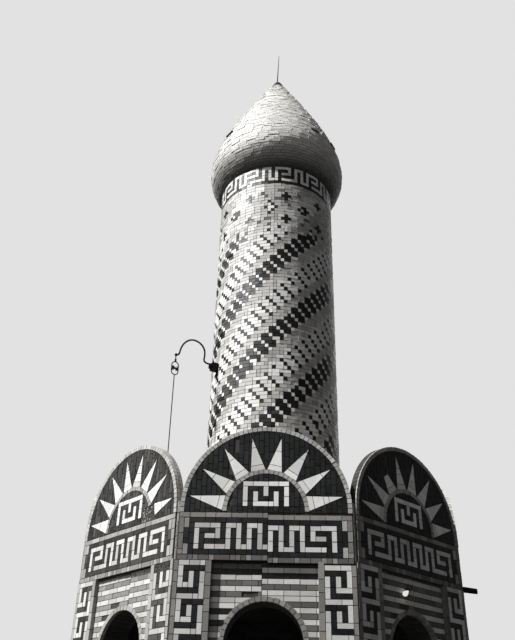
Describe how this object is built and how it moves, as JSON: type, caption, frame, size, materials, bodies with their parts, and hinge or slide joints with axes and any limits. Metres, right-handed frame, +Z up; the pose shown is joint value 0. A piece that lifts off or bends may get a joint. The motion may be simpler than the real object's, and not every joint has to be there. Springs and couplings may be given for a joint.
{
  "type": "mausoleum tower",
  "caption": "Mausoleum tower: an open octagonal arcade with sunburst gables carries a tall round tiled shaft with a pointed bulbous brick cap.",
  "frame": {"origin": "centre of the octagon on the underside of the floor slab, at ground level", "axes": "+Z up along the shaft; the front face looks along -Y, +X is to the right of it"},
  "size_m": [5.1423, 4.93, 14.881],
  "materials": {
    "floor_stone": "worn matt stone",
    "pier_brick": "glazed and plain brick mosaic, matt joints",
    "wall_brick": "glazed and plain brick courses, matt joints",
    "frieze_tile": "glossy dark and off-white glazed brick",
    "gable_tile": "dark glazed brick with pale rays",
    "beam_brick": "matt brick",
    "roof_render": "weathered lime render",
    "shaft_tile": "glazed and plain brick in rising bands",
    "cap_brick": "matt pale brick courses",
    "dark_iron": "dark weathered iron",
    "porcelain": "brown glazed porcelain",
    "cable_sheath": "matt black sheath",
    "lamp_glass": "white frosted glass"
  },
  "bodies": {
    "root": {"floor_slab": "floor_stone", "pier_1": "pier_brick", "pier_2": "pier_brick", "pier_3": "pier_brick", "pier_4": "pier_brick", "pier_5": "pier_brick", "pier_6": "pier_brick", "pier_7": "pier_brick", "pier_8": "pier_brick", "arch_head_front": "wall_brick", "frieze_panel_front": "frieze_tile", "gable_front": "gable_tile", "arch_head_front_right": "wall_brick", "frieze_panel_front_right": "frieze_tile", "gable_front_right": "gable_tile", "arch_head_right": "wall_brick", "frieze_panel_right": "frieze_tile", "gable_right": "gable_tile", "arch_head_back_right": "wall_brick", "frieze_panel_back_right": "frieze_tile", "gable_back_right": "gable_tile", "arch_head_back": "wall_brick", "frieze_panel_back": "frieze_tile", "gable_back": "gable_tile", "arch_head_back_left": "wall_brick", "frieze_panel_back_left": "frieze_tile", "gable_back_left": "gable_tile", "arch_head_left": "wall_brick", "frieze_panel_left": "frieze_tile", "gable_left": "gable_tile", "arch_head_front_left": "wall_brick", "frieze_panel_front_left": "frieze_tile", "gable_front_left": "gable_tile", "ring_beam": "beam_brick", "roof_vault": "roof_render", "shaft": "shaft_tile", "shaft_band": "frieze_tile", "cap": "cap_brick", "finial_collar": "dark_iron", "finial_rod": "dark_iron", "bracket_socket": "dark_iron", "bracket_arm": "dark_iron", "insulator_frame": "dark_iron", "insulator": "porcelain", "drop_cable": "cable_sheath", "lamp_holder": "porcelain", "lamp_bulb": "lamp_glass", "spout": "dark_iron"}
  },
  "joints": []
}
